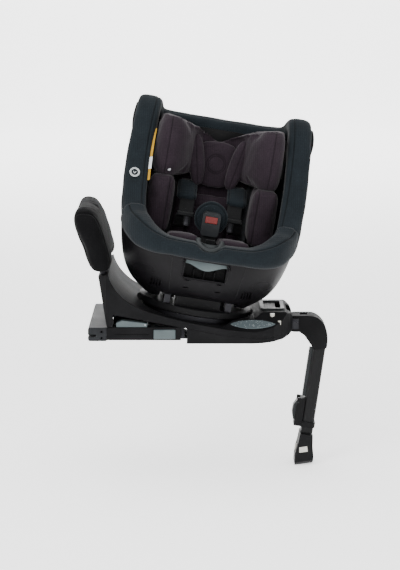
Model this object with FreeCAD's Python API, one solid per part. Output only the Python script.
"""Rotating child car seat on a belted-down base, as separate pieces.

Units are millimetres.  World frame: +Z up, origin on the underside of the base below the
swivel axis.  -X is the connector end with the rebound bar, +X the support leg end.  The seat
is turned to its boarding position and faces -Y.  Seat pieces are modelled in a seat frame
(x across, y to the back, z along the swivel axis) and are then placed by seat_placement().
"""
import FreeCAD, Part
import math
import os

V = FreeCAD.Vector

# ---------------------------------------------------------------- driving dimensions
# base
BASE_HALF_WIDTH = 165.0       # half of the base across the car seat, along Y
BASE_FRONT_X = 253.0          # front end of the base
BASE_FLAT_X = 150.0           # the flat underside ends here and rounds up
HULL_START_X = -20.0          # the lower tub starts here, the arms run behind it
REAR_TOP_X = -241.0           # rear face at the top of the rear wall
REAR_TOP_Z = 167.0
REAR_FOOT_X = -220.0
REAR_FOOT_Z = 43.0
BASE_WALL = 4.0
RIM_BAND = 16.0               # depth of the upper shell below its rim
SHELL_GAP = 0.5               # parting gap between shells
HUMP_TOP_Z = 66.0
HUMP_HALF_TOP = 88.0
WINDOW_X = 176.0              # window of the rotation lock in the hump
WINDOW_LENGTH = 43.0
WINDOW_HALF_WIDTH = 50.0

# swivel
SWIVEL_Z = 75.0               # height of the swivel plane at the axis
SWIVEL_TILT = 9.5             # degrees, the axis leans to +X
SEAT_YAW = 2.0                # degrees, seat turned past square
DISC_RADIUS = 145.0
RACE_OUTER = 132.0            # fixed bearing ring
RACE_INNER = 104.0
RACE_HEIGHT = 12.0
DECK_DROP = 24.0              # base deck below the swivel plane
SPINDLE_RADIUS = 22.0
BALL_RADIUS = 4.0
BALL_COUNT = 24
RUN_FIT = 0.05                # radial running clearance of pins and slides
BODY_GAP = 0.4                # gap between pieces that move past each other

# recline: the seat slides on rails that are arcs about a cross axis
RECLINE_Z = 350.0             # height of the arc centre above the swivel plane
RAIL_X = 78.0
RAIL_WIDTH = 16.0

# seat shell: height, half width, front reach, back reach, front and back squareness
SHELL_SECTIONS = (
    (8.0, 122.0, 112.0, 112.0, 2.2, 2.3),
    (46.0, 173.0, 152.0, 150.0, 2.3, 2.5),
    (76.0, 194.0, 178.0, 178.0, 2.4, 2.6),
    (117.0, 209.0, 203.0, 198.0, 2.6, 2.8),
    (188.0, 222.0, 231.0, 211.0, 3.0, 3.2),
    (300.0, 228.0, 236.0, 214.0, 3.2, 3.4),
    (400.0, 229.0, 234.0, 208.0, 3.2, 3.6),
    (510.0, 222.0, 228.0, 194.0, 3.2, 3.6),
)
SHELL_WALL = 4.0
SHELL_SPLIT_Z = 150.0         # seam between the lower bowl and the back shell
ROLL_WIDTH = 46.0
LINER_THICKNESS = 14.0

# connectors
ISOFIX_SPACING = 280.0        # between the two anchor points, as the standard has it
JAW_RADIUS = 3.1
ARM_WIDTH = 30.0
ARM_Z0 = 9.0
ARM_Z1 = 41.0
ARM_END_X = -35.0
CROSSBAR_X0 = -267.0
CROSSBAR_X1 = -221.0

# rebound bar
REBOUND_HALF_WIDTH = 158.0
REBOUND_TUBE_RADIUS = 9.0
REBOUND_POST_Y = 118.0
REBOUND_FOOT = (-212.0, 60.0)       # x and z of the lower end of a post
REBOUND_KNEE = (-229.0, 172.0)      # where the posts leave the rear wall
REBOUND_TOP = (-273.0, 318.0)

# support leg
LEG_PIVOT_X = 256.0
LEG_PIVOT_Z = 24.0
LEG_PIN_RADIUS = 6.0
LEG_HALF_WIDTH = 30.0
LEG_LEAN = 8.0                # degrees, the tube leans back under the base
TUBE_DEPTH = 31.0             # along X
TUBE_WIDTH = 46.0             # along Y
TUBE_WALL = 2.5
TUBE_TOP = (323.5, -24.0)     # x and z of the tube axis at the elbow
TUBE_LENGTH = 243.0

# harness
WEBBING_WIDTH = 38.0
WEBBING_THICKNESS = 1.6


# ---------------------------------------------------------------- helpers
def box(x0, x1, y0, y1, z0, z1):
    return Part.makeBox(x1 - x0, y1 - y0, z1 - z0, V(x0, y0, z0))


def soft_box(x0, x1, y0, y1, z0, z1, radius):
    """A block with all its edges rounded."""
    block = box(x0, x1, y0, y1, z0, z1)
    return block.makeFillet(radius, block.Edges)


def rod(radius, start, end):
    start = V(*start)
    end = V(*end)
    axis = end.sub(start)
    return Part.makeCylinder(radius, axis.Length, start, axis)


def pipe(outer, inner, start, end):
    return rod(outer, start, end).cut(rod(inner, start, end))


def side_prism(points, half_width, centre=0.0):
    """A closed outline of (x, z) points, as thick as 2 * half_width along Y."""
    corners = [V(x, centre - half_width, z) for x, z in points]
    face = Part.Face(Part.makePolygon(corners + [corners[0]]))
    return face.extrude(V(0, 2 * half_width, 0))


def front_prism(points, x0, x1):
    """A closed outline of (y, z) points, extruded from x0 to x1."""
    corners = [V(x0, y, z) for y, z in points]
    face = Part.Face(Part.makePolygon(corners + [corners[0]]))
    return face.extrude(V(x1 - x0, 0, 0))


def plan_prism(points, z0, z1):
    """A closed outline of (x, y) points, extruded from z0 to z1."""
    corners = [V(x, y, z0) for x, y in points]
    face = Part.Face(Part.makePolygon(corners + [corners[0]]))
    return face.extrude(V(0, 0, z1 - z0))


def spline_prism(curve_points, close_points, vector):
    """A face between a smooth curve and a polyline that closes it, extruded by a vector."""
    curve = Part.BSplineCurve()
    curve.interpolate(curve_points)
    chain = [curve_points[-1]] + close_points + [curve_points[0]]
    wire = Part.Wire([curve.toShape()] + Part.makePolygon(chain).Edges)
    return Part.Face(wire).extrude(vector)


def placed(shape, placement):
    moved = shape.copy()
    moved.Placement = placement.multiply(moved.Placement)
    return moved


def group(shapes):
    return shapes[0] if len(shapes) == 1 else Part.makeCompound(shapes)


def both_sides(shape):
    """A shape and its mirror image across the XZ plane, as one group."""
    return group([shape, shape.mirror(V(0, 0, 0), V(0, 1, 0))])


def pair(make):
    """The left and the right piece of a kind, as one group."""
    return group([make(-1), make(1)])


def swivel_placement():
    tilt = FreeCAD.Rotation(V(0, 1, 0), SWIVEL_TILT)
    return FreeCAD.Placement(V(0, 0, SWIVEL_Z), tilt)


def seat_placement():
    yaw = FreeCAD.Placement(V(0, 0, 0), FreeCAD.Rotation(V(0, 0, 1), SEAT_YAW))
    return swivel_placement().multiply(yaw)


# ---------------------------------------------------------------- base
RIM_LINE = (
    (-216.0, 174.0), (-196.0, 134.0), (-159.0, 101.0), (-109.0, 78.5),
    (-35.0, 58.0), (65.0, 38.0), (164.0, 28.0), (232.0, 28.0),
)


def base_plan(inset):
    """Plan outline of the base: straight sides, rounded rear corners, round front end."""
    half = BASE_HALF_WIDTH - inset
    rear = REAR_TOP_X + inset
    front = BASE_FRONT_X - inset
    bend = 110.0
    corner = 20.0
    points = [(rear + corner, -half), (front - bend, -half)]
    for step in range(1, 12):
        angle = math.radians(-90 + 15 * step)
        reach = bend * math.cos(angle)
        points.append((front - bend + reach, half * math.sin(angle)))
    points += [(front - bend, half), (rear + corner, half), (rear, half - corner)]
    points += [(rear, corner - half)]
    return plan_prism(points, -20.0, REAR_TOP_Z + 20.0)


def rim_side(shift_x, shift_z, close_points, half_width):
    top = [V(x + shift_x, -half_width, z + shift_z) for x, z in RIM_LINE]
    closing = [V(x, -half_width, z) for x, z in close_points]
    return spline_prism(top, closing, V(0, 2 * half_width, 0))


def hump(inset):
    """The raised front of the base that carries the rotation lock."""
    top = HUMP_TOP_Z - inset
    side = side_prism(
        [(70 + inset, 20), (70 + inset, 36 - inset), (96, 50 - inset), (150 + inset, 52 - inset),
         (172 + inset, top), (230 - inset, top), (245 - inset, 58 - inset),
         (BASE_FRONT_X - inset, 40 - inset), (BASE_FRONT_X - inset, 20)],
        BASE_HALF_WIDTH)
    half = BASE_HALF_WIDTH - inset
    cross = front_prism(
        [(-half, 20), (-half, 28 - inset), (-112, 52 - inset), (-HUMP_HALF_TOP + inset, top),
         (HUMP_HALF_TOP - inset, top), (112, 52 - inset), (half, 28 - inset), (half, 20)],
        60.0, BASE_FRONT_X + 5)
    return side.common(cross)


def leg_slot():
    """Opening for the folding leg at the front of the base."""
    half = LEG_HALF_WIDTH + 8.0
    return box(234.0, BASE_FRONT_X + 10, -half, half, -10.0, 100.0)


def turntable_well():
    """Round well in the deck for the bearing and the disc, about the swivel axis."""
    well = rod(DISC_RADIUS + 6.0, (0, 0, -DECK_DROP), (0, 0, 200.0))
    return placed(well, swivel_placement())


def base_upper_shell():
    outline = [(BASE_FRONT_X + 5, 28.0), (BASE_FRONT_X + 5, 28.0 - RIM_BAND),
               (164.0, 28.0 - RIM_BAND), (65.0, 38.0 - RIM_BAND), (-20.0, 55.0 - RIM_BAND),
               (-35.0, 41.0), (-204.0, 73.0), (-204.0, REAR_FOOT_Z), (REAR_FOOT_X, REAR_FOOT_Z),
               (REAR_TOP_X, REAR_TOP_Z)]
    outer = rim_side(0, 0, outline, BASE_HALF_WIDTH)
    outer = outer.fuse(hump(0.0)).common(base_plan(0.0))
    cavity_outline = [(BASE_FRONT_X, 24.0), (BASE_FRONT_X, -5.0), (REAR_FOOT_X + 5, -5.0),
                      (REAR_FOOT_X + 5, REAR_FOOT_Z), (REAR_TOP_X + 5, REAR_TOP_Z - 5)]
    cavity = rim_side(-BASE_WALL, -BASE_WALL, cavity_outline, BASE_HALF_WIDTH)
    cavity = cavity.fuse(hump(BASE_WALL)).common(base_plan(BASE_WALL))
    floor = placed(rod(DISC_RADIUS + 6.0 + BASE_WALL, (0, 0, -DECK_DROP - BASE_WALL), (0, 0, 200)),
                   swivel_placement())
    shell = outer.cut(cavity.cut(floor)).cut(turntable_well())
    hub = placed(rod(SPINDLE_RADIUS + 6.0, (0, 0, -DECK_DROP - 30), (0, 0, 10)), swivel_placement())
    window = box(WINDOW_X, WINDOW_X + WINDOW_LENGTH, -WINDOW_HALF_WIDTH, WINDOW_HALF_WIDTH, 45, 90)
    shell = shell.cut(hub).cut(window).cut(leg_slot())
    for side in (-1, 1):
        y = side * REBOUND_POST_Y
        shell = shell.cut(rod(REBOUND_TUBE_RADIUS + 0.3, (REBOUND_FOOT[0], y, REBOUND_FOOT[1]),
                              (REBOUND_KNEE[0], y, REBOUND_KNEE[1])))
        shell = shell.cut(Part.makeSphere(REBOUND_TUBE_RADIUS + 0.3,
                                          V(REBOUND_KNEE[0], y, REBOUND_KNEE[1])))
    return shell.removeSplitter()


def base_lower_shell():
    lift = RIM_BAND + SHELL_GAP
    top = [(HULL_START_X, 55.0 - lift), (65.0, 38.0 - lift), (164.0, 28.0 - lift),
           (BASE_FRONT_X - 2, 28.0 - lift)]
    under = [(BASE_FRONT_X - 12, 7.0), (222.0, 2.5), (190.0, 0.6), (BASE_FLAT_X, 0.0),
             (HULL_START_X, 0.0)]
    outer = side_prism(top + under, BASE_HALF_WIDTH).common(base_plan(0.0))
    wall = BASE_WALL
    inner_top = [(HULL_START_X - 5, 80.0), (BASE_FRONT_X, 80.0)]
    inner_under = [(BASE_FRONT_X - 16, 7.0 + wall), (222.0, 2.5 + wall), (BASE_FLAT_X, wall),
                   (HULL_START_X - 5, wall)]
    inner = side_prism(inner_top + inner_under, BASE_HALF_WIDTH).common(base_plan(wall))
    channel = box(212.0, 240.0, -LEG_HALF_WIDTH - 8, LEG_HALF_WIDTH + 8, -5.0, 60.0)
    shell = outer.cut(inner).cut(leg_slot()).cut(channel)
    shell = shell.cut(base_screws(0.05))
    return shell.removeSplitter()


def base_chassis():
    """Folded steel tray between the two connector arms, with its cross members."""
    half = BASE_HALF_WIDTH - ARM_WIDTH - 4.0
    tray = box(-212.0, 198.0, -half, half, 6.0, 8.5)
    web = box(-212.0, HULL_START_X - 6, -half, -half + 2.5, 8.5, 40.0)
    webs = [tray, web, web.mirror(V(0, 0, 0), V(0, 1, 0))]
    for x in (-210.0, -150.0, 196.0):
        height = 36.0 if x < 0 else 26.0
        webs.append(box(x, x + 2.5, -half, half, 8.5, height))
    chassis = webs[0].multiFuse(webs[1:])
    column = placed(rod(SPINDLE_RADIUS + 12.0, (0, 0, -60.0), (0, 0, -DECK_DROP - 4.8)),
                    swivel_placement()).common(box(-80, 80, -80, 80, 8.5, 80))
    bore = placed(rod(SPINDLE_RADIUS + RUN_FIT, (0, 0, -80.0), (0, 0, 20.0)), swivel_placement())
    return chassis.fuse(column).cut(bore).removeSplitter()


SCREW_PLACES = [(x, side * 95.0) for x in (20.0, 130.0) for side in (-1, 1)]


def bearing_ring():
    """Fixed race of the swivel bearing, with a ball groove in its top."""
    ring = pipe(RACE_OUTER, RACE_INNER, (0, 0, -DECK_DROP + 0.3), (0, 0, -DECK_DROP + RACE_HEIGHT))
    groove = Part.makeTorus((RACE_OUTER + RACE_INNER) / 2, BALL_RADIUS + 0.2,
                            V(0, 0, -DECK_DROP + RACE_HEIGHT + 2.0))
    return placed(ring.cut(groove), swivel_placement())


def front_bezel():
    """Frame round the window of the rotation lock."""
    edge = 9.0
    x0 = WINDOW_X - edge
    x1 = WINDOW_X + WINDOW_LENGTH + edge
    plate = box(x0, x1, -WINDOW_HALF_WIDTH - edge, WINDOW_HALF_WIDTH + edge,
                HUMP_TOP_Z + 0.05, HUMP_TOP_Z + 4.0)
    uprights = [edge_ for edge_ in plate.Edges
                if abs(edge_.tangentAt(edge_.FirstParameter).z) > 0.9]
    plate = plate.makeFillet(7.0, uprights)
    window = box(WINDOW_X, WINDOW_X + WINDOW_LENGTH, -WINDOW_HALF_WIDTH, WINDOW_HALF_WIDTH,
                 HUMP_TOP_Z - 5, HUMP_TOP_Z + 10)
    return plate.cut(window)


LOCK_TRAVEL = 12.0


def rotation_lock():
    """Sliding grip in the window that frees the seat to turn."""
    x0 = WINDOW_X + BODY_GAP
    x1 = WINDOW_X + WINDOW_LENGTH - LOCK_TRAVEL - BODY_GAP
    half = WINDOW_HALF_WIDTH - BODY_GAP
    grip = box(x0, x1, -half, half, HUMP_TOP_Z - 9.0, HUMP_TOP_Z - 1.0)
    ribs = [box(x0 + 4 + 6 * i, x0 + 6.5 + 6 * i, -half + 6, half - 6, HUMP_TOP_Z - 1, HUMP_TOP_Z)
            for i in range(4)]
    return grip.multiFuse(ribs).removeSplitter()


def indicators():
    """Two indicator lenses beside the window, on the near slope of the hump."""
    return group([rod(6.0, (196.0, -98.0, 50.0), (196.0, -98.0, 64.2)),
                  rod(4.0, (213.0, -120.0, 40.0), (213.0, -120.0, 50.0))])


def grip_plate():
    """Lens shaped sole plate on the near shoulder of the base."""
    points = []
    length = 112.0
    for i in range(13):
        x = 90.0 + length * i / 12
        sway = math.sin(math.pi * i / 12) ** 0.7
        points.append((x, -135.0 - 17.0 * sway))
    for i in range(11, 0, -1):
        x = 90.0 + length * i / 12
        sway = math.sin(math.pi * i / 12) ** 0.7
        points.append((x, -135.0 + 15.0 * sway))
    outline = plan_prism(points, 0.0, 100.0)
    slope = front_prism([(-165, 29.5), (-165, 31.5), (-112, 55.5), (-112, 53.5)], 60.0, 230.0)
    return outline.common(slope)


def leg_bracket():
    """Steel fork at the front of the base that holds the leg pin."""
    ear_in = LEG_HALF_WIDTH + 1.5
    ear_out = ear_in + 4.0
    back = box(206.5, 210.5, -ear_out, ear_out, 10.0, 40.0)
    fork = back
    for side in (-1, 1):
        y0 = min(side * ear_in, side * ear_out)
        fork = fork.fuse(box(206.5, LEG_PIVOT_X + 10, y0, y0 + 4.0, 12.0, 38.0))
    pin = rod(LEG_PIN_RADIUS + RUN_FIT, (LEG_PIVOT_X, -60, LEG_PIVOT_Z),
              (LEG_PIVOT_X, 60, LEG_PIVOT_Z))
    return fork.cut(pin).removeSplitter()


def leg_pivot_pin():
    reach = LEG_HALF_WIDTH + 7.5
    head = rod(9.0, (LEG_PIVOT_X, -reach, LEG_PIVOT_Z), (LEG_PIVOT_X, -reach + 1.8, LEG_PIVOT_Z))
    shank = rod(LEG_PIN_RADIUS, (LEG_PIVOT_X, -reach + 1.8, LEG_PIVOT_Z),
                (LEG_PIVOT_X, reach, LEG_PIVOT_Z))
    return head.fuse(shank)


def base_screws(gap=0.0):
    """Cross head screws that close the tub from below, heads sunk in the underside."""
    screws = []
    for x, y in SCREW_PLACES:
        shank = rod(2.0 + gap, (x, y, 1.0), (x, y, 5.9))
        head = rod(4.0 + gap, (x, y, 0.1 - gap * 10), (x, y, 2.0 + gap))
        screws.append(head.fuse(shank))
    return group(screws)


# ---------------------------------------------------------------- rebound bar
def rebound_hoop(radius):
    """Bent steel tube: two posts out of the rear wall, leaning back, and a top bar."""
    pieces = []
    for side in (-1, 1):
        y = side * REBOUND_POST_Y
        foot = (REBOUND_FOOT[0], y, REBOUND_FOOT[1])
        knee = (REBOUND_KNEE[0], y, REBOUND_KNEE[1])
        top = (REBOUND_TOP[0], y, REBOUND_TOP[1])
        pieces += [rod(radius, foot, knee), rod(radius, knee, top)]
        pieces += [Part.makeSphere(radius, V(*knee)), Part.makeSphere(radius, V(*top))]
    pieces.append(rod(radius, (REBOUND_TOP[0], -REBOUND_POST_Y, REBOUND_TOP[1]),
                      (REBOUND_TOP[0], REBOUND_POST_Y, REBOUND_TOP[1])))
    return pieces[0].multiFuse(pieces[1:])


def rebound_frame():
    return rebound_hoop(REBOUND_TUBE_RADIUS)


def rebound_pad():
    """Padded sleeve of the rebound bar."""
    outline = [(-244.0, 176.5), (-254.5, 178.0), (-264.0, 205.0), (-273.0, 235.0), (-284.0, 260.0),
               (-294.0, 286.0), (-300.0, 306.0), (-302.0, 322.0), (-299.0, 334.0),
               (-290.0, 341.0), (-276.0, 342.0), (-262.0, 336.0), (-252.0, 324.0),
               (-239.0, 291.0), (-224.0, 240.0), (-213.0, 196.0), (-214.5, 184.0),
               (-220.0, 177.5)]
    pad = side_prism(outline, REBOUND_HALF_WIDTH)
    half = REBOUND_HALF_WIDTH
    corner = 60.0
    arc = []
    for step in range(7):
        angle = math.radians(15 * step)
        arc.append((half - corner + corner * math.cos(angle), 342 - corner + corner * math.sin(angle)))
    cross = [(-half, 170.0), (half, 170.0)] + arc + [(-y, z) for y, z in reversed(arc)]
    pad = pad.common(front_prism(cross, -320.0, -200.0))
    return pad.cut(rebound_hoop(REBOUND_TUBE_RADIUS + 0.3))


# ---------------------------------------------------------------- connectors
BUTTON_X0 = -103.0
BUTTON_X1 = -48.0
BUTTON_Z0 = 12.0
BUTTON_Z1 = 36.0
BUTTON_PROUD = 4.0
HOOK_PIVOT = (-236.0, 31.0)
HOOK_PIN_RADIUS = 2.5
JAW_X = -250.0
JAW_Z = 20.0
HOOK_THICKNESS = 6.0


def isofix_arms():
    """Connector arms beside the tray, each with the pocket of its release button."""
    outer = BASE_HALF_WIDTH
    inner = outer - ARM_WIDTH
    arm = box(CROSSBAR_X1 + 0.3, ARM_END_X, inner, outer, ARM_Z0, ARM_Z1)
    pocket = box(BUTTON_X0 - BODY_GAP, BUTTON_X1 + BODY_GAP, outer - 14, outer + 5,
                 BUTTON_Z0 - BODY_GAP, BUTTON_Z1 + BODY_GAP)
    groove = box(CROSSBAR_X1 + 20, BUTTON_X0 - 12, outer - 1.5, outer + 5, 22.0, 25.0)
    return both_sides(arm.cut(pocket).cut(groove))


def release_button(side):
    outer = BASE_HALF_WIDTH
    block = box(BUTTON_X0, BUTTON_X1, outer - 9, outer + BUTTON_PROUD, BUTTON_Z0, BUTTON_Z1)
    outward = [edge for edge in block.Edges
               if abs(edge.tangentAt(edge.FirstParameter).y) > 0.9
               or edge.BoundBox.YMin > outer + 1]
    block = block.makeFillet(2.5, outward)
    return block if side > 0 else block.mirror(V(0, 0, 0), V(0, 1, 0))


def isofix_crossbar():
    """Cross member that joins the arms, with a groove along its rear for the anchor bars."""
    bar = box(CROSSBAR_X0, CROSSBAR_X1, -BASE_HALF_WIDTH, BASE_HALF_WIDTH, 6.6, ARM_Z1)
    along = [edge for edge in bar.Edges
             if abs(edge.tangentAt(edge.FirstParameter).y) > 0.9 and edge.BoundBox.XMax < -250]
    bar = bar.makeFillet(6.0, along)
    reach = BASE_HALF_WIDTH + 1
    mouth = box(CROSSBAR_X0 - 1, JAW_X, -reach, reach, JAW_Z - JAW_RADIUS, JAW_Z + JAW_RADIUS)
    bar = bar.cut(mouth).cut(rod(JAW_RADIUS, (JAW_X, -reach, JAW_Z), (JAW_X, reach, JAW_Z)))
    for side in (-1, 1):
        y = side * ISOFIX_SPACING / 2
        half = HOOK_THICKNESS / 2 + BODY_GAP
        cavity = box(CROSSBAR_X0 + 3, CROSSBAR_X1 - 3, y - half, y + half, 10.0, 38.5)
        bar = bar.cut(cavity)
        for z in (14.0, 30.0):
            bar = bar.cut(rod(3.0, (-233.0, side * 150.0, z), (-233.0, side * 170.0, z)))
        bar = bar.cut(hook_trunnion(side, RUN_FIT))
    return bar


def hook_trunnion(side, gap):
    """Pin of a hook, held in the cross member."""
    x, z = HOOK_PIVOT
    y = side * ISOFIX_SPACING / 2
    return rod(HOOK_PIN_RADIUS + gap, (x, y - 9 - 4 * gap, z), (x, y + 9 + 4 * gap, z))


def isofix_hooks():
    """Latch plates that swing down in front of the anchor bars."""
    return both_sides(isofix_hook())


def isofix_hook():
    y = ISOFIX_SPACING / 2
    x, z = HOOK_PIVOT
    plate = side_prism([(x + 6, z + 4), (x - 6, z + 6), (x - 24, z + 6), (x - 25, z - 1),
                        (x - 21, z - 4), (x - 17, z - 1), (x - 6, z - 5), (x + 5, z - 5)],
                       HOOK_THICKNESS / 2, y)
    return plate.fuse(hook_trunnion(1, 0.0)).removeSplitter()


LATCH_PIVOT = (-124.0, 47.0)
LATCH_END_X = -196.0


def latch_levers():
    """Pair of levers on the base that free the sliding arms."""
    x, z = LATCH_PIVOT
    y0 = BASE_HALF_WIDTH - ARM_WIDTH + 1.0
    y1 = BASE_HALF_WIDTH - 2.0
    low = ARM_Z1 + 0.8
    outline = [(x + 5, low), (x + 5, z + 3.5), (x - 4, z + 5), (x - 40, 56.0), (x - 58, 58.0),
               (LATCH_END_X, 52.0), (LATCH_END_X, low)]
    lever = side_prism(outline, (y1 - y0) / 2, (y0 + y1) / 2)
    lever = lever.cut(rod(2.0 + RUN_FIT, (x, y0 - 5, z), (x, y1 + 5, z)))
    return both_sides(lever)


def latch_pins():
    """Short axles of the two latch levers, riveted to brackets on the chassis webs."""
    x, z = LATCH_PIVOT
    inner = BASE_HALF_WIDTH - ARM_WIDTH - 4.0
    outer = BASE_HALF_WIDTH - 4.0
    pin = rod(2.0, (x, inner - 3.0, z), (x, outer, z))
    bracket = box(x - 6, x + 6, inner - 6.0, inner - 3.0, 36.0, z + 6)
    return both_sides(pin.fuse(bracket))


# ---------------------------------------------------------------- support leg
def leg_placement():
    return FreeCAD.Placement(V(TUBE_TOP[0], 0, TUBE_TOP[1]),
                             FreeCAD.Rotation(V(0, 1, 0), LEG_LEAN))


def upright_rounded(x0, x1, y0, y1, z0, z1, radius):
    """A block whose four edges along Z are rounded."""
    block = box(x0, x1, y0, y1, z0, z1)
    edges = [edge for edge in block.Edges
             if abs(edge.tangentAt(edge.FirstParameter).z) > 0.9]
    return block.makeFillet(radius, edges)


def leg_elbow():
    """Arm and elbow of the leg, hinged at the front of the base."""
    half = LEG_HALF_WIDTH
    root = rod(21.0, (LEG_PIVOT_X, -half, LEG_PIVOT_Z), (LEG_PIVOT_X, half, LEG_PIVOT_Z))
    curve = [V(296.0, -half, 45.0), V(318.0, -half, 37.0), V(333.0, -half, 20.0),
             V(340.0, -half, -2.0), V(341.0, -half, -22.0), V(338.5, -half, -40.0)]
    closing = [V(306.0, -half, -44.0), V(303.0, -half, -38.0), V(281.0, -half, -6.0),
               V(268.0, -half, 3.0), V(LEG_PIVOT_X, -half, 3.0), V(LEG_PIVOT_X, -half, 45.0)]
    arm = spline_prism(curve, closing, V(0, 2 * half, 0))
    elbow = arm.fuse(root)
    slot = box(262.0 + 8, 262.0 + 28, -12.0, 12.0, 22.0, 60.0)
    bore = rod(LEG_PIN_RADIUS + RUN_FIT, (LEG_PIVOT_X, -half - 1, LEG_PIVOT_Z),
               (LEG_PIVOT_X, half + 1, LEG_PIVOT_Z))
    socket = placed(tube_block(0.05, 0.0, -80.0), leg_placement())
    return elbow.cut(slot).cut(bore).cut(socket).removeSplitter()


def tube_block(gap, top, bottom):
    x = TUBE_DEPTH / 2 + gap
    y = TUBE_WIDTH / 2 + gap
    return upright_rounded(-x, x, -y, y, bottom, top, 8.0)


def leg_outer_tube():
    x = TUBE_DEPTH / 2 - TUBE_WALL
    y = TUBE_WIDTH / 2 - TUBE_WALL
    bore = upright_rounded(-x, x, -y, y, -TUBE_LENGTH - 1, -8.0, 6.0)
    return placed(tube_block(0.0, 0.0, -TUBE_LENGTH).cut(bore), leg_placement())


def leg_notch_rail():
    """Toothed strip on the inner face of the tube, for the height steps."""
    x = -TUBE_DEPTH / 2 - 0.1
    rail = box(x - 9.0, x, -9.0, 9.0, -150.0, -22.0)
    for step in range(9):
        z = -30.0 - 13.0 * step
        rail = rail.cut(box(x - 10.0, x - 5.0, -6.0, 6.0, z - 5.0, z))
    return placed(rail, leg_placement())


HOUSING_Z0 = -229.0
HOUSING_Z1 = -155.0
LEVER_PIVOT = (-36.0, -163.0)


def leg_adjuster_housing():
    """Housing of the height latch, strapped round the tube."""
    x = -TUBE_DEPTH / 2
    body = box(x - 21.0, x - 0.1, -21.0, 21.0, HOUSING_Z0, HOUSING_Z1)
    recess = box(x - 30.0, x - 12.0, -13.0, 13.0, HOUSING_Z0 + 12, HOUSING_Z1 + 1)
    y = TUBE_WIDTH / 2
    band = upright_rounded(x - 4, -x + 3.0, -y - 3, y + 3, HOUSING_Z0, HOUSING_Z0 + 14, 9.0)
    hole = tube_block(0.1, HOUSING_Z1 + 5, HOUSING_Z0 - 5)
    pin = rod(2.5 + RUN_FIT, (LEVER_PIVOT[0] + 3, -30, LEVER_PIVOT[1] - 4),
              (LEVER_PIVOT[0] + 3, 30, LEVER_PIVOT[1] - 4))
    housing = body.cut(recess).fuse(band).cut(hole).cut(pin)
    return placed(housing.removeSplitter(), leg_placement())


def leg_lever():
    """Squeeze lever that frees the inner tube."""
    x = LEVER_PIVOT[0] + 3
    z = LEVER_PIVOT[1] - 4
    outline = [(x + 3.8, z + 3.8), (x - 3.5, z + 4.4), (x - 11, z - 10), (x - 12, z - 30),
               (x - 7, z - 47), (x - 2, z - 47), (x - 1.5, z - 25), (x + 3.8, z - 8)]
    lever = side_prism(outline, 12.4)
    lever = lever.fuse(rod(2.5, (x, -20.5, z), (x, 20.5, z)))
    return placed(lever.removeSplitter(), leg_placement())


INNER_TOP = -30.0
INNER_BOTTOM = -256.0
SLIDE_GAP = 0.4


def leg_inner_tube():
    x = TUBE_DEPTH / 2 - TUBE_WALL - SLIDE_GAP
    y = TUBE_WIDTH / 2 - TUBE_WALL - SLIDE_GAP
    tube = upright_rounded(-x, x, -y, y, INNER_BOTTOM, INNER_TOP, 5.5)
    bore = upright_rounded(-x + 2, x - 2, -y + 2, y - 2, INNER_BOTTOM - 1, INNER_TOP + 1, 4.0)
    return placed(tube.cut(bore), leg_placement())


FOOT_HALF = 31.0


def leg_foot():
    """Foot on the inner tube with its slanted sole."""
    outline = [(-16.5, -247.0), (16.5, -247.0), (20.0, -275.0), (26.0, -300.0), (27.0, -312.0),
               (-20.0, -325.0), (-22.0, -300.0), (-18.0, -272.0)]
    foot = side_prism(outline, FOOT_HALF)
    x = TUBE_DEPTH / 2 - TUBE_WALL - SLIDE_GAP + 0.05
    y = TUBE_WIDTH / 2 - TUBE_WALL - SLIDE_GAP + 0.05
    socket = box(-x, x, -y, y, INNER_BOTTOM - 0.05, -240.0)
    window = side_prism([(-14, -283), (6, -277), (10, -291), (-12, -297)], 2.0, -FOOT_HALF + 0.5)
    disc = rod(9.1, (-25.0, 0, -290.0), (-15.0, 0, -290.0))
    return placed(foot.cut(socket).cut(window).cut(disc), leg_placement())


def foot_sole():
    outline = [(27.2, -312.2), (-20.0, -325.2), (-19.0, -331.0), (25.5, -318.5)]
    return placed(side_prism(outline, FOOT_HALF - 1.0), leg_placement())


def foot_indicators():
    """Slanted window that shows when the foot bears on the floor, and the round end cap."""
    window = side_prism([(-13.8, -283.2), (5.8, -277.2), (9.7, -290.9), (-11.8, -296.8)], 1.4,
                        -FOOT_HALF + 1.0)
    cap = rod(9.0, (-23.5, 0, -290.0), (-15.5, 0, -290.0))
    return placed(group([window, cap]), leg_placement())


# ---------------------------------------------------------------- swivel
DISC_BOTTOM = -8.0
DISC_TOP = 8.0
BALL_CIRCLE = (RACE_OUTER + RACE_INNER) / 2
BALL_Z = -DECK_DROP + RACE_HEIGHT + 2.0
RAIL_TOP_RADIUS = 325.0       # arc of the top of the rails
SLOT_RADIUS = 334.0           # arc of the slot in the rails
ROLLER_RADIUS = 4.5
ROLLER_ANGLE = 9.0            # degrees, two rollers before and behind the centre
RECLINE_RANGE = 10.0
CARRIER_WIDTH = 9.0


def recline_arc(radius, half_width, centre_x=0.0):
    """A cylinder about the recline axis."""
    return Part.makeCylinder(radius, 2 * half_width, V(centre_x - half_width, 0, RECLINE_Z),
                             V(1, 0, 0))


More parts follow.
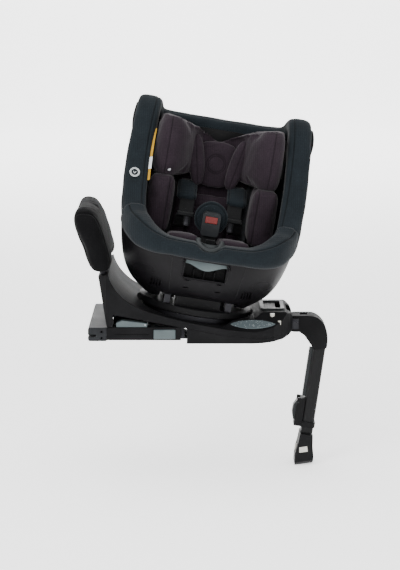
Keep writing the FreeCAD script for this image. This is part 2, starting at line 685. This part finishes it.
def turntable_disc():
    """Turning plate with its spindle and the upper ball groove."""
    disc = rod(DISC_RADIUS, (0, 0, DISC_BOTTOM), (0, 0, DISC_TOP))
    rim = [edge for edge in disc.Edges if edge.BoundBox.ZMin > DISC_TOP - 0.1]
    disc = disc.makeChamfer(2.0, rim)
    spindle = rod(SPINDLE_RADIUS, (0, 0, -58.0), (0, 0, DISC_BOTTOM))
    block_half = RAIL_X - RAIL_WIDTH / 2 - CARRIER_WIDTH - 4.0
    block = box(-block_half, block_half, RAIL_ZONE_Y + 1.0, -80.0, DISC_TOP - 1.0, 80.0)
    disc = disc.fuse(block.cut(recline_arc(RAIL_TOP_RADIUS + 1.5, 200.0)))
    groove = Part.makeTorus(BALL_CIRCLE, BALL_RADIUS + 0.2, V(0, 0, BALL_Z))
    return placed(disc.fuse(spindle).cut(groove), seat_placement())


def bearing_balls():
    balls = []
    for i in range(BALL_COUNT):
        angle = 2 * math.pi * i / BALL_COUNT
        centre = V(BALL_CIRCLE * math.cos(angle), BALL_CIRCLE * math.sin(angle), BALL_Z)
        balls.append(Part.makeSphere(BALL_RADIUS, centre))
    return placed(group(balls), seat_placement())


def arc_wedge(start_deg, end_deg, half_width, centre_x):
    """A wedge about the recline axis between two angles, front side negative."""
    reach = 500.0
    corners = [V(centre_x - half_width, 0, RECLINE_Z)]
    for angle in (start_deg, end_deg):
        turn = math.radians(angle)
        corners.append(V(centre_x - half_width, reach * math.sin(turn),
                         RECLINE_Z - reach * math.cos(turn)))
    face = Part.Face(Part.makePolygon(corners + [corners[0]]))
    return face.extrude(V(2 * half_width, 0, 0))


def roller_centre(angle):
    turn = math.radians(angle)
    return SLOT_RADIUS * math.sin(turn), RECLINE_Z - SLOT_RADIUS * math.cos(turn)


def recline_rail(side):
    """Curved rail that the seat slides on, with a slot for each roller."""
    centre = side * RAIL_X
    half = RAIL_WIDTH / 2
    reach = math.sqrt(DISC_RADIUS ** 2 - (RAIL_X + half) ** 2) - 4.0
    rail = box(centre - half, centre + half, -reach, reach, DISC_TOP + 0.05, 60.0)
    rail = rail.cut(recline_arc(RAIL_TOP_RADIUS, half + 1, centre))
    slot_half = ROLLER_RADIUS + RUN_FIT
    for angle in (-ROLLER_ANGLE, ROLLER_ANGLE):
        ring = recline_arc(SLOT_RADIUS + slot_half, half + 1, centre)
        ring = ring.cut(recline_arc(SLOT_RADIUS - slot_half, half + 2, centre))
        slot = ring.common(arc_wedge(angle - RECLINE_RANGE - 0.3, angle + 0.3, half + 1, centre))
        for end in (angle - RECLINE_RANGE - 0.3, angle + 0.3):
            y, z = roller_centre(end)
            slot = slot.fuse(rod(slot_half, (centre - half - 1, y, z), (centre + half + 1, y, z)))
        rail = rail.cut(slot)
    return placed(rail, seat_placement())


def recline_carriers():
    """Steel cheeks under the seat that hold the rollers beside the rails."""
    cheeks = []
    for side in (-1, 1):
        centre = side * (RAIL_X - RAIL_WIDTH / 2 - 1.0 - CARRIER_WIDTH / 2)
        ring = recline_arc(SLOT_RADIUS + 6.0, CARRIER_WIDTH / 2, centre)
        ring = ring.cut(recline_arc(SHELL_FLOOR_RADIUS + 0.2, CARRIER_WIDTH, centre))
        cheek = ring.common(arc_wedge(-13.0, 13.0, CARRIER_WIDTH, centre))
        for angle in (-ROLLER_ANGLE, ROLLER_ANGLE):
            y, z = roller_centre(angle)
            cheek = cheek.cut(rod(ROLLER_RADIUS - 1.5, (centre - 20, y, z), (centre + 20, y, z)))
        cheeks.append(cheek)
    return placed(group(cheeks), seat_placement())


def recline_rollers():
    """Stepped pins: a journal in the cheek and a roller in the rail slot."""
    rollers = []
    for side in (-1, 1):
        for angle in (-ROLLER_ANGLE, ROLLER_ANGLE):
            y, z = roller_centre(angle)
            inner = side * (RAIL_X - RAIL_WIDTH / 2 - 1.0 - CARRIER_WIDTH)
            face = side * (RAIL_X - RAIL_WIDTH / 2 - 1.0)
            outer = side * (RAIL_X + RAIL_WIDTH / 2 + 1.0)
            journal = rod(ROLLER_RADIUS - 1.5, (inner, y, z), (face, y, z))
            rollers.append(journal.fuse(rod(ROLLER_RADIUS, (face, y, z), (outer, y, z))))
    return placed(group(rollers), seat_placement())


# ---------------------------------------------------------------- seat shell
SHELL_FLOOR_RADIUS = 324.0    # floor of the shell over the rails
SHELL_SKIRT_RADIUS = 340.0    # lower edge of the shell beside and before the rails
RAIL_ZONE_X = 98.0
RAIL_ZONE_Y = -118.0
FABRIC_RIM = (
    (-250.0, 184.0), (-226.0, 187.0), (-200.0, 198.0), (-172.0, 212.0), (-140.0, 223.0),
    (-112.0, 240.0), (-84.0, 266.0), (-45.0, 322.0), (12.0, 424.0), (40.0, 474.0), (66.0, 497.0), (100.0, 498.0),
    (150.0, 476.0), (192.0, 461.0), (240.0, 457.0),
)
PLASTIC_RIM = (
    (-250.0, 145.0), (-224.0, 147.0), (-207.0, 158.0), (-170.0, 170.0), (-130.0, 178.0),
    (-100.0, 196.0), (-74.0, 240.0), (-24.0, 322.0), (34.0, 424.0), (56.0, 459.0),
    (80.0, 476.0), (110.0, 474.0), (150.0, 459.0), (192.0, 445.0), (240.0, 441.0),
)


def egg_section(section, inset):
    """One closed cross section of the seat: a superellipse with its own front and back."""
    height, half, front, back, front_n, back_n = section
    count = 32
    points = []
    for i in range(count):
        angle = 2 * math.pi * i / count
        c = math.cos(angle)
        s = math.sin(angle)
        reach = (back if s >= 0 else front) - inset
        power = 2.0 / (back_n if s >= 0 else front_n)
        x = (half - inset) * math.copysign(abs(c) ** power, c)
        y = reach * math.copysign(abs(s) ** power, s)
        points.append(V(x, y, height))
    curve = Part.BSplineCurve()
    curve.interpolate(points, PeriodicFlag=True)
    return Part.Wire([curve.toShape()])


def egg(inset):
    """The closed body of the seat, drawn in by an inset all round."""
    return Part.makeLoft([egg_section(section, inset) for section in SHELL_SECTIONS], True, False)


def under_rim(rim, lower=0.0):
    """Everything under a rim line given in side view as (y, z)."""
    wide = 260.0
    curve = [V(-wide, y, z - lower) for y, z in rim]
    closing = [V(-wide, rim[-1][0], -40.0), V(-wide, rim[0][0], -40.0)]
    return spline_prism(curve, closing, V(2 * wide, 0, 0))


def rail_zone(radius, margin):
    """Space over the rails that the floor of the shell keeps out of."""
    zone = box(-RAIL_ZONE_X - margin, RAIL_ZONE_X + margin, RAIL_ZONE_Y - margin, 260.0, -20.0, 80.0)
    return zone.cut(recline_arc(radius, 240.0))


HANDLE_HALF = 52.0
HANDLE_Z0 = 93.0
HANDLE_Z1 = 141.0
HOUSING_BACK_Y = -150.0


def plastic_shell():
    outer = egg(0.0).common(recline_arc(SHELL_SKIRT_RADIUS, 250.0)).cut(
        rail_zone(SHELL_FLOOR_RADIUS, 0.0))
    inner = egg(SHELL_WALL).common(recline_arc(SHELL_SKIRT_RADIUS - SHELL_WALL, 250.0)).cut(
        rail_zone(SHELL_FLOOR_RADIUS - SHELL_WALL, SHELL_WALL))
    return outer.cut(inner).common(under_rim(PLASTIC_RIM))


def seam_region(gap):
    """The space of the lower bowl: under the seam, and higher at the front."""
    z = SHELL_SPLIT_Z + gap
    y = RAIL_ZONE_Y + gap
    outline = [(-270.0, -20.0), (270.0, -20.0), (270.0, z), (y, z), (y, 250.0), (-270.0, 250.0)]
    return front_prism(outline, -270.0, 270.0)


def seat_lower_shell(shell):
    """Lower bowl of the seat with the opening for the recline handle."""
    bowl = shell.common(seam_region(0.0))
    bowl = bowl.cut(box(-HANDLE_HALF, HANDLE_HALF, -260, -140, HANDLE_Z0, HANDLE_Z1))
    for side in (-1, 1):
        for row in range(2):
            z = 62.0 + 22.0 * row
            x = side * 40.0
            bowl = bowl.cut(box(x - 6, x + 6, -260, -120, z, z + 3.0))
        for step in range(4):
            x = side * (104.0 + 7.0 * step)
            bowl = bowl.cut(box(x - 1.5, x + 1.5, -260, -60, 52.0, 74.0))
    return bowl


def seat_back_shell(shell):
    """Back and wing shell above the seam."""
    return shell.cut(seam_region(SHELL_GAP))


def handle_housing():
    """Tray behind the opening in which the recline handle sits."""
    wall = 3.0
    outer = box(-HANDLE_HALF - wall, HANDLE_HALF + wall, -230.0, HOUSING_BACK_Y,
                HANDLE_Z0 - wall, HANDLE_Z1 + wall)
    inner = box(-HANDLE_HALF, HANDLE_HALF, -240.0, HOUSING_BACK_Y - wall, HANDLE_Z0, HANDLE_Z1)
    tray = outer.common(egg(SHELL_WALL + 0.2)).cut(inner)
    ribs = [box(x - 1.5, x + 1.5, HOUSING_BACK_Y - 20, HOUSING_BACK_Y - wall, HANDLE_Z0, HANDLE_Z0 + 20)
            for x in (-26.0, 0.0, 26.0)]
    return tray.multiFuse(ribs).removeSplitter()




def recline_handle():
    """Pull handle with a wavy lower edge, set back in the opening."""
    half = HANDLE_HALF - BODY_GAP
    top = HANDLE_Z1 - BODY_GAP
    front_y = -197.0
    curve = [V(-half + 2 * half * i / 8.0, front_y,
               top - 17.0 - 7.0 * math.cos(math.pi * (-1 + i / 4.0))) for i in range(9)]
    closing = [V(half, front_y, top), V(-half, front_y, top)]
    plate = spline_prism(curve, closing, V(0, 9.0, 0))
    grip = box(-half, half, front_y + 9.0, front_y + 30.0, top - 6.0, top)
    stem = box(-8.0, 8.0, front_y + 9.0, HOUSING_BACK_Y - 3.4, top - 12.0, top - 6.0)
    return plate.multiFuse([grip, stem]).removeSplitter()


FOAM_HALF = 168.0
FOAM_TOP = 110.0
FOAM_ARC = SHELL_FLOOR_RADIUS - SHELL_WALL - 4.0


def foam_core():
    """Energy absorbing foam under the cushion and behind the back pad."""
    outline = []
    for angle in range(-25, 28, 4):
        turn = math.radians(angle)
        outline.append(V(-FOAM_HALF, FOAM_ARC * math.sin(turn), RECLINE_Z - FOAM_ARC * math.cos(turn)))
    outline += [V(-FOAM_HALF, 143.0, FOAM_TOP), V(-FOAM_HALF, HOUSING_BACK_Y + 12, FOAM_TOP)]
    base = Part.Face(Part.makePolygon(outline + outline[:1])).extrude(V(2 * FOAM_HALF, 0, 0))
    base = base.common(egg(SHELL_WALL + LINER_THICKNESS + 2.0))
    half = 112.0
    back = [V(-half, BACK_FOOT[0], FOAM_TOP + 0.3), V(-half, 172.0, FOAM_TOP + 0.3),
            V(-half, 184.0, 180.0), V(-half, 184.0, BACK_HEAD[1]), V(-half, *BACK_HEAD)]
    back = Part.Face(Part.makePolygon(back + back[:1])).extrude(V(2 * half, 0, 0))
    return group([base, back.common(egg(SHELL_WALL + LINER_THICKNESS + 2.0))])


def seat_liner():
    """Fabric lining on the inside of the shell, between the floor and the edge roll."""
    skin = egg(SHELL_WALL + 0.4).cut(egg(SHELL_WALL + LINER_THICKNESS))
    skin = skin.common(under_rim(PLASTIC_RIM, 0.3)).common(box(-260, 260, -260, 260, 100.0, 480.0))
    tray = box(-HANDLE_HALF - 4, HANDLE_HALF + 4, -260, HOUSING_BACK_Y + 1, 80.0, HANDLE_Z1 + 4)
    collar = rod(BEZEL_HALF + 1.0, (0, BEZEL_Y + 20, BEZEL_FLOOR_Z - 1), (0, BEZEL_Y + 20, 230.0))
    return skin.cut(tray).cut(collar)


def edge_band():
    band = egg(-1.5).cut(egg(ROLL_WIDTH - 4.0))
    return band.common(under_rim(FABRIC_RIM)).cut(under_rim(PLASTIC_RIM, -0.4))


def wing_roll(side, band):
    """Padded fabric roll over the edge of the wing and half of the back."""
    x0, x1 = (0.15, 260.0) if side > 0 else (-260.0, -0.15)
    return band.common(box(x0, x1, -128.0, 260.0, 150.0, 520.0))


BEZEL_HALF = 25.0
BEZEL_Y = -216.0
BEZEL_FLOOR_Z = 160.0


def lip_pad():
    """Rounded front lip of the cover, notched for the harness adjuster."""
    body = egg(-1.5).cut(egg(52.0))
    body = body.common(under_rim(FABRIC_RIM)).cut(under_rim(PLASTIC_RIM, -0.4))
    body = body.common(box(-260, 260, -260, -128.5, 100.0, 260.0))
    notch = rod(BEZEL_HALF + 0.3, (0, BEZEL_Y + 20, 120.0), (0, BEZEL_Y + 20, 230.0))
    tray = box(-HANDLE_HALF - 4, HANDLE_HALF + 4, -230, HOUSING_BACK_Y + 1, 80.0, HANDLE_Z1 + 3.3)
    return body.cut(notch).cut(tray)


# ---------------------------------------------------------------- cushions and pads
BACK_FOOT = (110.0, 112.0)    # y and z of the lower end of the back foam
BACK_HEAD = (170.0, 405.0)
PAD_THICKNESS = 18.0


def back_lean(z, offset):
    """Y of the back face at a height, brought forward by an offset."""
    share = (z - BACK_FOOT[1]) / (BACK_HEAD[1] - BACK_FOOT[1])
    return BACK_FOOT[0] + share * (BACK_HEAD[0] - BACK_FOOT[0]) - offset


def seat_cushion():
    """Seat cushion, rising to the front lip."""
    outline = [(-176.0, 149.0), (-149.5, 147.0), (-149.5, 111.0), (100.0, 111.0), (100.0, 126.0),
               (20.0, 132.0), (-80.0, 144.0), (-150.0, 163.0), (-176.0, 172.0)]
    face = Part.Face(Part.makePolygon([V(-150, y, z) for y, z in outline + outline[:1]]))
    cushion = face.extrude(V(300, 0, 0))
    return cushion.common(egg(SHELL_WALL + LINER_THICKNESS + 1.5))


def back_pad():
    """Padded back of the seat, from the cushion up to the headrest."""
    low, high = 133.0, 322.0
    corners = [V(-98, back_lean(low, PAD_THICKNESS + 1), low), V(-98, back_lean(low, 1.0), low),
               V(-98, back_lean(high, 1.0), high), V(-98, back_lean(high, PAD_THICKNESS + 1), high)]
    pad = Part.Face(Part.makePolygon(corners + corners[:1])).extrude(V(196, 0, 0))
    return pad


def body_insert():
    """Softer inner pad for a small child, on the back and the seat."""
    y = back_lean(200.0, PAD_THICKNESS + 1)
    return soft_box(-54.0, 54.0, y - 26.0, y - 6.0, 152.0, 270.0, 8.0)


def torso_bolster(side):
    """Upright side bolster beside the child's ribs."""
    x0, x1 = (101.0, 166.0) if side > 0 else (-166.0, -101.0)
    return soft_box(x0, x1, -28.0, 96.0, 166.0, 318.0, 16.0)


def thigh_pad(side):
    """Cushion edge beside the thigh."""
    x0, x1 = (24.0, 104.0) if side > 0 else (-104.0, -24.0)
    pad = soft_box(x0, x1, -140.0, -20.0, 0.0, 24.0, 10.0)
    tip = FreeCAD.Placement(V(0, 0, 152.0), FreeCAD.Rotation(V(1, 0, 0), -7.0))
    return placed(pad, tip)


# ---------------------------------------------------------------- harness
STRAP_X = 62.0
BUCKLE_Y = -92.0
BUCKLE_Z0 = 190.0
BUCKLE_Z1 = 250.0
BUCKLE_HALF = 23.0


def ribbon(points, x_centre, width, thickness=WEBBING_THICKNESS):
    """Flat webbing: a path of (y, z) points given a thickness and a width along X."""
    upper = []
    lower = []
    for i, (y, z) in enumerate(points):
        y0, z0 = points[max(i - 1, 0)]
        y1, z1 = points[min(i + 1, len(points) - 1)]
        length = math.hypot(y1 - y0, z1 - z0)
        ny = -(z1 - z0) / length * thickness / 2
        nz = (y1 - y0) / length * thickness / 2
        upper.append(V(x_centre - width / 2, y + ny, z + nz))
        lower.append(V(x_centre - width / 2, y - ny, z - nz))
    outline = upper + lower[::-1]
    face = Part.Face(Part.makePolygon(outline + outline[:1]))
    return face.extrude(V(width, 0, 0))


SHOULDER_PATH = ((131.0, 298.0), (104.0, 297.0), (84.0, 293.0), (56.0, 278.0), (30.0, 258.0),
                 (12.0, 238.0), (4.0, 222.0))
HIP_PATH = ((4.0, 216.0), (14.0, 200.0), (36.0, 186.0), (78.0, 176.0), (92.0, 174.0))


def shoulder_strap(side):
    return ribbon(SHOULDER_PATH, side * STRAP_X, WEBBING_WIDTH)


def shoulder_pad(side):
    """Padded sleeve on the shoulder strap, the strap stops inside it."""
    pad = soft_box(-27.0, 27.0, -36.0, 36.0, -11.0, 11.0, 9.0)
    rise = SHOULDER_PATH[2][1] - SHOULDER_PATH[4][1]
    run = SHOULDER_PATH[2][0] - SHOULDER_PATH[4][0]
    slope = math.degrees(math.atan2(rise, run))
    centre = V(side * (STRAP_X + 3), SHOULDER_PATH[3][0], SHOULDER_PATH[3][1])
    return placed(pad, FreeCAD.Placement(centre, FreeCAD.Rotation(V(1, 0, 0), slope)))


def buckle_tongue(side):
    """Metal tongue with its plastic head, where shoulder and hip strap meet."""
    x = side * STRAP_X
    head = soft_box(x - 22, x + 22, -4.0, 4.0, 217.0, 229.0, 2.5)
    plate = box(x - side * 6 - 9, x - side * 6 + 9, -1.2, 1.2, 196.0, 217.5)
    tongue = head.fuse(plate)
    return tongue.cut(ribbon(SHOULDER_PATH, x, WEBBING_WIDTH + 0.6, WEBBING_THICKNESS + 0.4)).cut(
        ribbon(HIP_PATH, x, WEBBING_WIDTH + 0.6, WEBBING_THICKNESS + 0.4))


def hip_strap(side):
    strap = ribbon(HIP_PATH, side * (STRAP_X + 10), WEBBING_WIDTH - 8)
    return strap


def crotch_pad():
    """Round pad behind the buckle."""
    pad = Part.makeCylinder(44.0, 14.0, V(0, BUCKLE_Y + 13.0, 232.0), V(0, 1, 0))
    return pad.makeFillet(5.0, pad.Edges[:1] + pad.Edges[2:])


def crotch_strap():
    path = ((BUCKLE_Y + 8.0, BUCKLE_Z0 - 0.4), (BUCKLE_Y + 6.0, 176.0), (BUCKLE_Y, 152.0))
    return ribbon(path, 0.0, WEBBING_WIDTH, 2.0)


def buckle_housing():
    """Harness buckle with the recess of its release button."""
    body = box(-BUCKLE_HALF, BUCKLE_HALF, BUCKLE_Y - 12.0, BUCKLE_Y + 12.0, BUCKLE_Z0, BUCKLE_Z1)
    uprights = [edge for edge in body.Edges if abs(edge.tangentAt(edge.FirstParameter).y) > 0.9]
    body = body.makeFillet(9.0, uprights)
    recess = box(-16.0, 16.0, BUCKLE_Y - 13.0, BUCKLE_Y + 1.0, 222.0, 240.0)
    slots = [box(x - 9.5, x + 9.5, BUCKLE_Y + 2.0, BUCKLE_Y + 6.5, 232.0, BUCKLE_Z1 + 1)
             for x in (-11.0, 11.0)]
    return body.cut(recess).cut(slots[0]).cut(slots[1])


def buckle_button():
    block = box(-16.0 + BODY_GAP, 16.0 - BODY_GAP, BUCKLE_Y - 11.4, BUCKLE_Y - 4.0,
                222.0 + BODY_GAP, 240.0 - BODY_GAP)
    front = [edge for edge in block.Edges if edge.BoundBox.YMax < BUCKLE_Y - 11.0]
    return block.makeFillet(1.5, front)


def adjuster_bezel():
    """Half ring collar round the harness adjuster in the front lip."""
    y = BEZEL_Y + 20
    bore = BEZEL_HALF - 6.0
    cup = pipe(BEZEL_HALF, bore, (0, y, BEZEL_FLOOR_Z), (0, y, 187.0))
    cup = cup.fuse(rod(BEZEL_HALF, (0, y, BEZEL_FLOOR_Z), (0, y, BEZEL_FLOOR_Z + 2.5)))
    return cup.common(box(-40, 40, -260, y, 140, 200)).removeSplitter()


def adjuster_button():
    """Press button that lets the harness webbing run out."""
    y = BEZEL_Y + 20
    return soft_box(-12.0, 12.0, y - 13.5, y - 7.5, BEZEL_FLOOR_Z + 6.5, BEZEL_FLOOR_Z + 17.0, 2.0)


def adjuster_strap():
    """Pull strap of the harness, tucked in the opening."""
    z = BEZEL_FLOOR_Z + 3.0
    path = ((BEZEL_Y + 17.0, z), (BEZEL_Y + 16.0, z + 14.0), (BEZEL_Y + 13.5, z + 26.0))
    return ribbon(path, 0.0, 24.0)


# ---------------------------------------------------------------- headrest
HEADREST_HALF = 172.0
WING_INNER = 92.0
GUIDE_ROD_X = (-40.0, 40.0)
GUIDE_ROD_Y = 143.5
GUIDE_ROD_RADIUS = 4.0


def guide_bores():
    """Bores for the guide rods, in the foam and in the back pad."""
    return group([rod(GUIDE_ROD_RADIUS + 1.0, (x, GUIDE_ROD_Y, 250.0), (x, GUIDE_ROD_Y, 420.0))
                  for x in GUIDE_ROD_X])


def headrest_shell():
    """Moulded shell behind the head cushion and its wings, on two steel guide rods."""
    back = box(-128.0, 128.0, 141.0, 146.0, 336.0, 436.0)
    pieces = [back]
    for side in (-1, 1):
        edge = HEADREST_HALF - 2.0
        corners = [(side * 128, 141), (side * 128, 146), (side * edge, 100), (side * edge, 30),
                   (side * (edge - 4), 30), (side * (edge - 4), 98)]
        pieces.append(plan_prism(corners, 345.0, 440.0))
    for x in GUIDE_ROD_X:
        pieces.append(rod(GUIDE_ROD_RADIUS, (x, GUIDE_ROD_Y, 262.0), (x, GUIDE_ROD_Y, 340.0)))
    return pieces[0].multiFuse(pieces[1:]).removeSplitter()


def headrest_wing(side):
    """Side wing of the head cushion."""
    outer = HEADREST_HALF - 8.0
    corners = [(side * WING_INNER, -6), (side * (WING_INNER + 20), -26), (side * (outer - 16), -26),
               (side * outer, -8), (side * outer, 96), (side * 126, 140), (side * 100, 140)]
    if side < 0:
        corners.reverse()
    pad = plan_prism(corners, 334.0, 467.0)
    over = Part.Face(Part.makePolygon([V(-200, -30, 334), V(-200, 145, 334), V(-200, 145, 448),
                                       V(-200, 90, 467), V(-200, 30, 467), V(-200, -30, 446),
                                       V(-200, -30, 334)])).extrude(V(400, 0, 0))
    return pad.common(over).cut(headrest_shell())


def headrest_back():
    """Head cushion between the wings."""
    return soft_box(-WING_INNER + 0.5, WING_INNER - 0.5, 122.0, 140.5, 334.0, 432.0, 8.0)


def head_pillow():
    """Newborn pillow on the head cushion, with a plain round emblem."""
    pillow = soft_box(-36.0, 36.0, 100.0, 121.5, 302.0, 404.0, 9.0)
    ring = pipe(25.0, 22.5, (0, 90.0, 350.0), (0, 101.0, 350.0))
    return pillow.cut(ring)


def ear_pillow(side):
    """Narrow pillow beside the head, leaning outward at its top."""
    pad = soft_box(-18.0, 18.0, -13.0, 13.0, -58.0, 58.0, 11.0)
    lean = FreeCAD.Rotation(V(0, 1, 0), 6.0 * side)
    return placed(pad, FreeCAD.Placement(V(side * 63.0, 106.5, 362.0), lean))


def headrest_lever():
    """Squeeze lever at the top of the headrest."""
    return soft_box(-30.0, 30.0, 147.0, 155.0, 426.0, 446.0, 3.0)


# ---------------------------------------------------------------- the whole seat
def base_nodes():
    """Pieces of the base, drawn in the world frame."""
    upper = base_upper_shell().cut(indicators())
    return {
        "base_upper_shell": upper,
        "base_lower_shell": base_lower_shell().cut(upper),
        "base_chassis": base_chassis().cut(upper),
        "base_screws": base_screws(),
        "bearing_ring": bearing_ring(),
        "front_bezel": front_bezel(),
        "rotation_lock": rotation_lock(),
        "status_windows": indicators(),
        "sole_plate": grip_plate(),
        "leg_bracket": leg_bracket(),
        "leg_pivot_pin": leg_pivot_pin(),
        "rebound_frame": rebound_frame(),
        "rebound_pad": rebound_pad(),
        "isofix_crossbar": isofix_crossbar(),
        "isofix_arms": isofix_arms(),
        "isofix_hooks": isofix_hooks(),
        "release_button_left": release_button(1),
        "release_button_right": release_button(-1),
        "latch_levers": latch_levers(),
        "latch_pins": latch_pins(),
    }


def leg_nodes():
    return {
        "leg_elbow": leg_elbow(),
        "leg_outer_tube": leg_outer_tube(),
        "leg_notch_rail": leg_notch_rail(),
        "leg_adjuster_housing": leg_adjuster_housing(),
        "leg_lever": leg_lever(),
        "leg_inner_tube": leg_inner_tube(),
        "leg_foot": leg_foot(),
        "foot_sole": foot_sole(),
        "foot_indicators": foot_indicators(),
    }


def seat_nodes():
    """Pieces that are drawn in the seat frame."""
    shell = plastic_shell()
    band = edge_band()
    foam = foam_core()
    lip = lip_pad()
    back = back_pad().cut(guide_bores())
    pads = pair(shoulder_pad)
    webbing = group([pair(shoulder_strap), pair(hip_strap), crotch_strap(), adjuster_strap()])
    nodes = {
        "seat_lower_shell": seat_lower_shell(shell),
        "seat_back_shell": seat_back_shell(shell),
        "handle_housing": handle_housing(),
        "recline_handle": recline_handle(),
        "foam_core": foam.cut(guide_bores()),
        "seat_liner": seat_liner(),
        "wing_rolls": pair(lambda side: wing_roll(side, band)),
        "lip_pad": lip,
        "seat_cushion": seat_cushion().cut(lip),
        "back_pad": back,
        "body_insert": group([body_insert().cut(back), thigh_pad(-1), thigh_pad(1)]),
        "torso_bolsters": pair(torso_bolster),
        "shoulder_pads": pads,
        "buckle_tongues": pair(buckle_tongue),
        "harness_webbing": webbing.cut(pads).cut(back),
        "crotch_pad": crotch_pad(),
        "buckle_housing": buckle_housing(),
        "buckle_button": buckle_button(),
        "adjuster_bezel": adjuster_bezel(),
        "adjuster_button": adjuster_button(),
        "headrest_shell": headrest_shell(),
        "headrest_back": headrest_back(),
        "headrest_wings": pair(headrest_wing),
        "head_pillow": head_pillow(),
        "ear_pillows": pair(ear_pillow),
        "headrest_lever": headrest_lever(),
    }
    place = seat_placement()
    return {name: placed(shape, place) for name, shape in nodes.items()}


def turntable_nodes():
    return {
        "turntable_disc": turntable_disc(),
        "bearing_balls": bearing_balls(),
        "recline_rails": pair(recline_rail),
        "recline_carriers": recline_carriers(),
        "recline_rollers": recline_rollers(),
    }


def main():
    os.makedirs("parts", exist_ok=True)
    nodes = {}
    for family in (base_nodes(), leg_nodes(), turntable_nodes(), seat_nodes()):
        nodes.update(family)
    for name, shape in nodes.items():
        shape.exportStep("parts/" + name + ".step")
        print(name, len(shape.Solids), round(shape.Volume / 1000.0, 1), "cm3", shape.isValid())
    print(len(nodes), "nodes")


main()
